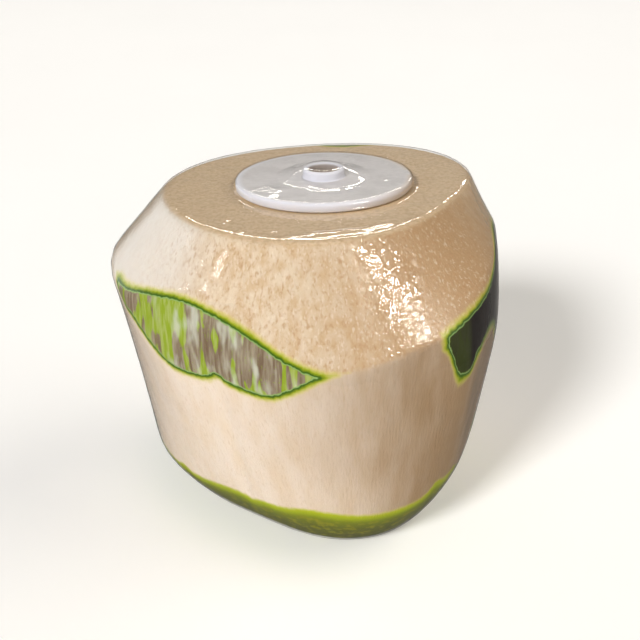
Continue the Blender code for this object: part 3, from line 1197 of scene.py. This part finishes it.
@dataclass
class Film:
    """The clear shrink film, drawn tight over husk and cap, open in a ring round the foot.

    A pair is where a share starts and is full, but the waves' second number is what the flat top lacks.
    Blisters are given for all over, the slope, the wet streak and the rim, beads for all over, the wall and
    the streak.
    """

    carving: Carving
    cap: Cap
    finish: FilmFinish
    columns: int = 288
    hem: float = 0.0012
    gap: float = 0.00034
    thickness: float = 0.00008
    wall_rows: int = 84
    top_rows: int = 26
    fillet: float = 0.0016
    tent_foot: float = 0.0131
    disc_rows: int = 26
    tent_rows: int = 14
    tent_sag: float = 0.22 * MM
    wrinkle_depth: float = 0.06 * MM
    swell_sizes: Pair = (5 * MM, 2 * MM)
    slack_over_cap: float = 0.4
    taut_where_wet: float = 0.9
    wet_streak: float = -70.6
    streak_bend: float = 3.0
    wet_drop: Span = Span(-126.0, (-14.0, -9.0, 9.0, 14.0))
    left_side: Span = Span(-154.0, (-36.0, -24.0, 24.0, 36.0))
    streaked_side: Span = Span(-20.0, (-24.0, -10.0, 10.0, 24.0))
    slope_start: Pair = (60 * MM, 67 * MM)
    upper_slope: Pair = (78 * MM, 88 * MM)
    bend_heights: Pair = (88 * MM, 95 * MM)
    drop_start: Pair = (80 * MM, 84 * MM)
    wall_end: Pair = (66 * MM, 58 * MM)
    rim_reach: Pair = (35 * MM, 40 * MM)
    streaked_reach: Pair = (33 * MM, 37 * MM)
    streak_core: Pair = (12.0, 1.0)
    streak_sides: Pair = (16.0, 8.0)
    waves: Pair = (0.8, 0.6)
    blisters: tuple[float, float, float, float] = (0.03, 0.08, 0.8, 0.12)
    beads: Triple = (0.04, 0.10, 0.8)
    fewer_beads_high: float = 0.7
    wall_dullness: float = 0.35
    clearer_left: float = 0.55
    creases: tuple[Crease, ...] = (
        Crease((-12.6, 3.4), (-12.4, -4.0)), Crease((-12.4, -4.0), (-10.7, -7.7)),
        Crease((-10.7, -7.7), (-7.0, -0.6), 0.14, 0.9), Crease((-4.6, -11.2), (-1.1, -14.6), 0.14),
        Crease((-1.1, -14.6), (5.0, -13.6), 0.12), Crease((5.0, -13.6), (10.5, -10.2), 0.10),
        Crease((-19.5, -12.1), (-10.7, -11.5), 0.12, 0.7), Crease((-17.5, -11.0), (-13.4, -19.6), 0.14, 0.8),
        Crease((-10.7, -11.5), (-12.7, -18.2), 0.12, 0.6), Crease((-15.2, -9.0), (-13.6, -15.0), 0.10, 0.6),
        Crease((16.6, -6.8), (18.2, -5.6), 0.10, 0.5), Crease((-6.0, -18.6), (-5.2, -20.4), 0.10, 0.4),
        Crease((-2.6, -22.6), (-0.6, -22.9), 0.08, 0.4), Crease((-10.0, -42.2), (2.0, -40.6), 0.18, 1.3),
        Crease((-4.0, -40.4), (8.0, -38.2), 0.20, 1.3), Crease((3.0, -39.9), (13.0, -36.9), 0.18, 1.2),
        Crease((10.0, -37.0), (17.0, -34.0), 0.14, 1.0), Crease((19.0, -33.6), (25.0, -30.4), 0.10, 0.8),
    )

    folds: tuple[Fold, ...] = (
        Fold((-16.6, -12.6), (2.6, 1.0), 8.0), Fold((-13.4, -14.4), (1.6, 2.0), 0.0),
        Fold((-13.2, -17.8), (0.7, 1.5), 12.0), Fold((-19.0, -11.6), (0.8, 0.7), 0.0),
        Fold((-2.2, -13.6), (2.0, 0.7), -30.0),
    )

    def over_cap(self) -> Array:
        """The film's profile from the flat top, over the cap, to its middle.

        Returns:
            Radii and heights by point.
        """
        cap, flat = self.cap, self.carving.top + self.gap
        face = self.carving.top + cap.seat_gap + cap.thickness
        crown = face + cap.boss_height
        corner = cap.edge_round
        wall = cap.radius + self.gap
        rows = [(wall + self.fillet, flat), (wall + 0.45 * self.fillet, flat + 0.1 * self.fillet)]
        rows += [(wall + 0.12 * self.fillet, flat + 0.45 * self.fillet)]
        rows += cap.arc((cap.radius - corner, face - corner), corner + self.gap, 0, 90)
        for radius in np.linspace(cap.radius - corner, self.tent_foot, self.disc_rows)[1:]:
            rows.append((radius, face + self.gap))
        rim = (cap.boss_radius + 0.5 * self.gap, crown)
        for share in np.linspace(0.0, 1.0, self.tent_rows)[1:]:
            sag = self.tent_sag * math.sin(math.pi * share)
            rows.append((
                self.tent_foot + share * (rim[0] - self.tent_foot),
                face + self.gap + share * (rim[1] - face - self.gap) - sag,
            ))
        rows += [(rim[0] - 0.0004, crown + 0.8 * self.gap), (0.7 * rim[0], crown + self.gap)]
        rows += [(0.35 * rim[0], crown + 0.6 * self.gap), (0.0, crown + 0.5 * self.gap)]
        return np.array(rows)

    def sweep(self) -> Sweep:
        """Works out the film by columns and rows, from its hem to the middle of the boss.

        Returns:
            The rows.
        """
        azimuths = 2.0 * np.pi * np.arange(self.columns) / self.columns
        levels = np.linspace(self.hem, self.carving.top, self.wall_rows + 1)
        wall = self.carving.husk(azimuths[:, None], levels[None, :]) + self.gap
        heights = np.repeat(levels[None, :], self.columns, axis=0)
        heights[:, -1] += self.gap
        over = self.over_cap()
        share = np.linspace(0.0, 1.0, self.top_rows + 1)[None, 1:-1]
        flat = wall[:, -1:] + share * (over[0, 0] - wall[:, -1:])
        ends = np.repeat(over[None, :, :], self.columns, axis=0)
        radii = np.concatenate((wall, flat, ends[:, :, 0]), axis=1)
        level = np.full_like(flat, self.carving.top + self.gap)
        heights = np.concatenate((heights, level, ends[:, :, 1]), axis=1)
        return Sweep(azimuths, radii, heights).softened(self.wall_rows, 3, 4.0)

    def states(self, azimuth: Array, height: Array, radius: Array) -> dict[str, Array]:
        """How the film lies at each point: wet, waved, streaked, blistered, beaded or dulled.

        Args:
            azimuth: Azimuths in radians.
            height: Heights.
            radius: Radii.

        Returns:
            Named shares, 0 to 1.
        """
        top = self.carving.top
        slope = ease(height, *self.slope_start) * ease(height, top + 0.6 * MM, top - 0.6 * MM)
        high = ease(height, *self.upper_slope)
        flat = ease(height, top - 0.2 * MM, top + 0.2 * MM)
        wall = ease(height, *self.wall_end)
        rim = ease(np.abs(height - top), 2.0 * MM, 0.4 * MM) * ease(radius, *self.rim_reach)
        bend = self.streak_bend * ease(height, *self.bend_heights)
        from_streak = np.abs(apart(azimuth, self.wet_streak) + bend)
        near = ease(from_streak, *self.streak_sides) * slope
        drop = self.wet_drop.at(azimuth) * ease(height, *self.drop_start) * slope
        left = self.left_side.at(azimuth) * slope
        everywhere, less_on_top = self.waves
        all_over, on_slope, by_streak, at_rim = self.blisters
        beads, beads_on_wall, beads_by_streak = self.beads
        states = {
            "wet": np.maximum(ease(from_streak, *self.streak_core) * slope, drop),
            "waved": everywhere - less_on_top * flat,
            "streaked": flat * ease(radius, *self.streaked_reach) * self.streaked_side.at(azimuth),
            "blistered": all_over + on_slope * slope * (1.0 - drop) + by_streak * near * high + at_rim * rim,
            "beaded": beads + beads_on_wall * wall
            + beads_by_streak * near * (1.0 - self.fewer_beads_high * high),
            "dulled": (self.wall_dullness * wall + slope * (1.0 - self.clearer_left * left)) * (1.0 - flat),
        }
        return {name: np.clip(share, 0.0, 1.0) + 0.0 * azimuth for name, share in states.items()}

    def build(self) -> bpy.types.Object:
        """Makes and dresses the film.

        Returns:
            The piece.
        """
        sweep = self.sweep()
        last = sweep.radii.shape[1] - 1
        points = sweep.points()
        bm = bmesh.new()
        bmesh.ops.create_grid(bm, x_segments=self.columns, y_segments=last, size=1.0)
        states = self.states(sweep.azimuths[:, None], sweep.heights, sweep.radii)
        layers = {name: bm.verts.layers.float.new(name) for name in states}
        for vert in bm.verts:
            column = round((vert.co.x + 1.0) / 2.0 * self.columns) % self.columns
            row = round((vert.co.y + 1.0) / 2.0 * last)
            vert.co = points[column, row]
            for name, layer in layers.items():
                vert[layer] = states[name][column, row]
        bmesh.ops.remove_doubles(bm, verts=bm.verts, dist=SEAM_MERGE)
        bmesh.ops.recalc_face_normals(bm, faces=bm.faces)
        bm.normal_update()
        shift = Vector((5.1, 1.7, 9.3))
        wide, fine = self.swell_sizes
        for vert in bm.verts:
            swell = noise.noise(vert.co / wide + shift) + 0.5 * noise.noise(vert.co / fine - shift)
            x, y = ((vert.co[axis] - CAP_AXIS[axis]) / MM for axis in (0, 1))
            over_cap = math.hypot(x, y) * MM < self.cap.radius
            wrinkles = self.creases + self.folds if vert.co.z > self.carving.top else ()
            lift = sum(wrinkle.at(x, y) for wrinkle in wrinkles)
            slack = self.slack_over_cap if over_cap else 1.0 - self.taut_where_wet * vert[layers["wet"]]
            vert.co += vert.normal * (self.wrinkle_depth * swell * slack + lift * MM)
        piece = new_piece("shrink_film", bm, "film")
        wall = piece.modifiers.new("thickness", "SOLIDIFY")
        wall.thickness = self.thickness
        wall.offset = 1.0
        piece.data.materials.append(self.finish.build())
        return piece


# Studio

@dataclass(frozen=True)
class Softbox:
    """A lamp that only shows where something glossy mirrors it, as a window or lamp of a room does."""

    name: str
    place: Triple
    width: float
    power: float
    colour: Triple = (1.0, 1.0, 1.0)
    length: float = 0.05

    def build(self, target: Vector) -> None:
        """Adds the lamp.

        Args:
            target: The point it faces.
        """
        lamp = bpy.data.lights.new(self.name, "AREA")
        lamp.shape = "RECTANGLE"
        lamp.size = self.width
        lamp.size_y = self.length
        lamp.energy = self.power
        lamp.color = self.colour
        holder = bpy.data.objects.new(self.name, lamp)
        holder.location = self.place
        holder.rotation_euler = (target - Vector(self.place)).to_track_quat("-Z", "Y").to_euler()
        holder.visible_diffuse = False
        bpy.context.scene.collection.objects.link(holder)


@dataclass(frozen=True)
class Sun:
    """A broad soft light that shades but isn't mirrored."""

    name: str
    azimuth: float
    elevation: float
    strength: float
    spread: float
    colour: Triple

    def build(self) -> None:
        """Adds the light."""
        turn, rise = math.radians(self.azimuth), math.radians(self.elevation)
        light = bpy.data.lights.new(self.name, "SUN")
        light.energy = self.strength
        light.angle = math.radians(self.spread)
        light.color = self.colour
        holder = bpy.data.objects.new(self.name, light)
        towards = Vector((math.cos(rise) * math.cos(turn), math.cos(rise) * math.sin(turn), math.sin(rise)))
        holder.rotation_euler = towards.to_track_quat("Z", "Y").to_euler()
        holder.visible_glossy = False
        bpy.context.scene.collection.objects.link(holder)


@dataclass(frozen=True)
class Studio:
    """Pale floor, soft light and the camera at the photograph's angle."""

    target: Triple = (0.0, 0.0, 0.06)
    camera_place: Triple = (0.0055, -0.2512, 0.1767)
    pitch: float = 25.756
    yaw: float = -0.489
    roll: float = -1.554
    focal_pixels: float = 927.72
    frame_pixels: float = 640.0
    sensor: float = 36.0
    floor_radius: float = 3.0
    suns: tuple[Sun, ...] = (
        Sun("key", -124.0, 33.0, 2.82, 14.0, (1.0, 0.985, 0.97)),
        Sun("far_fill", 4.0, 38.0, 1.35, 50.0, (1.0, 0.93, 0.82)),
    )
    fill: Pair = (0.12, 0.20)
    fill_colour: Colour = (1.0, 0.96, 0.90, 1.0)
    floor_tones: tuple[Colour, Colour] = (srgb(250, 250, 249), srgb(247, 247, 246))
    floor_glow: float = 0.16
    lamps: tuple[Softbox, ...] = (
        Softbox("window", (-0.86, 0.52, 0.19), 0.9, 0.95, (0.93, 0.98, 1.0), 0.35),
        Softbox("spark", (0.68, -0.63, 0.62), 0.36, 6.0, (1.0, 0.95, 0.84), 0.06),
        Softbox("ceiling_strip", (0.02, 1.04, 0.64), 0.5, 1.8, (1.0, 0.96, 0.86), 0.045),
        Softbox("overhead", (0.03, -0.10, 1.0), 0.35, 0.9, (1.0, 0.96, 0.86), 0.03),
        Softbox("far_lamp", (0.33, 0.984, 0.473), 0.12, 0.4, (1.0, 0.97, 0.92), 0.06),
        Softbox("back_left_lamp", (-0.30, 0.90, 0.61), 0.05, 0.16, (1.0, 0.96, 0.86), 0.05),
        Softbox("left_spark", (-0.95, -0.36, 0.36), 0.10, 0.045, (1.0, 0.98, 0.94), 0.004),
        Softbox("low_left_spark", (-1.0, -0.14, 0.34), 0.05, 0.015, (1.0, 0.98, 0.94), 0.006),
    )

    def add_camera(self) -> None:
        """Adds the camera and makes it the scene's."""
        pitch, yaw, roll = (math.radians(angle) for angle in (self.pitch, self.yaw, self.roll))
        ahead = Vector((math.sin(yaw) * math.cos(pitch), math.cos(yaw) * math.cos(pitch), -math.sin(pitch)))
        level = Vector((math.cos(yaw), -math.sin(yaw), 0.0))
        upright = level.cross(ahead)
        right = math.cos(roll) * level + math.sin(roll) * upright
        up = -math.sin(roll) * level + math.cos(roll) * upright
        lens = bpy.data.cameras.new("camera")
        lens.sensor_width = self.sensor
        lens.lens = self.sensor * self.focal_pixels / self.frame_pixels
        lens.clip_start = 0.01
        camera = bpy.data.objects.new("camera", lens)
        turn = Matrix((right, up, -ahead)).transposed().to_4x4()
        camera.matrix_world = Matrix.Translation(self.camera_place) @ turn
        bpy.context.scene.collection.objects.link(camera)
        bpy.context.scene.camera = camera

    def add_floor(self) -> None:
        """Adds the pale floor."""
        bm = bmesh.new()
        bmesh.ops.create_circle(bm, cap_ends=True, segments=96, radius=self.floor_radius)
        mesh = bpy.data.meshes.new("floor")
        bm.to_mesh(mesh)
        bm.free()
        floor = bpy.data.objects.new("floor", mesh)
        bpy.context.scene.collection.objects.link(floor)
        material, graph, shader = new_material("pale_floor")
        share = graph.between(unevenness(graph, 0.2), 0.3, 0.7)
        graph.feed(shader, {
            "Base Color": graph.mix(share, *self.floor_tones),
            "Roughness": 0.8,
            "Emission Color": (1.0, 1.0, 1.0, 1.0),
            "Emission Strength": self.floor_glow,
        })
        mesh.materials.append(material)
        floor.visible_glossy = False

    def add_surroundings(self) -> None:
        """Adds what is mirrored all round, a little lighter overhead, and plain white behind."""
        world = bpy.data.worlds.new("studio")
        world.use_nodes = True
        graph = Graph(world.node_tree)
        upwards, level = graph.add("SeparateXYZ"), graph.add("MapRange", interpolation_type="SMOOTHSTEP")
        graph.feed(upwards, {"Vector": graph.add("TexCoord").outputs["Generated"]})
        low, high = self.fill
        graph.feed(level, {
            "Value": upwards.outputs["Z"], "From Min": 0.1, "From Max": 1.0, "To Min": low, "To Max": high,
        })
        seen = graph.add("LightPath").outputs["Is Camera Ray"]
        strength = graph.maths("MAXIMUM", level.outputs["Result"], seen)
        graph.feed(world.node_tree.nodes["Background"], {"Color": self.fill_colour, "Strength": strength})
        bpy.context.scene.world = world

    def build(self) -> None:
        """Adds camera, floor, surroundings and lamps."""
        self.add_camera()
        self.add_floor()
        for sun in self.suns:
            sun.build()
        self.add_surroundings()
        bpy.context.scene.view_settings.view_transform = "Standard"
        for lamp in self.lamps:
            lamp.build(Vector(self.target))


def main() -> None:
    """Builds the coconut and its studio."""
    logging.basicConfig(level=logging.INFO, format="%(name)s: %(message)s")
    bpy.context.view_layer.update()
    Studio().build()
    carving = Carving()
    cap = Cap(carving, CapFinish())
    for assembly in (Husk(carving, HuskFinish()), cap, Film(carving, cap, FilmFinish())):
        piece = assembly.build()
        LOG.info("%s: %d points", piece.name, len(piece.data.vertices))


if __name__ == "__main__":
    main()
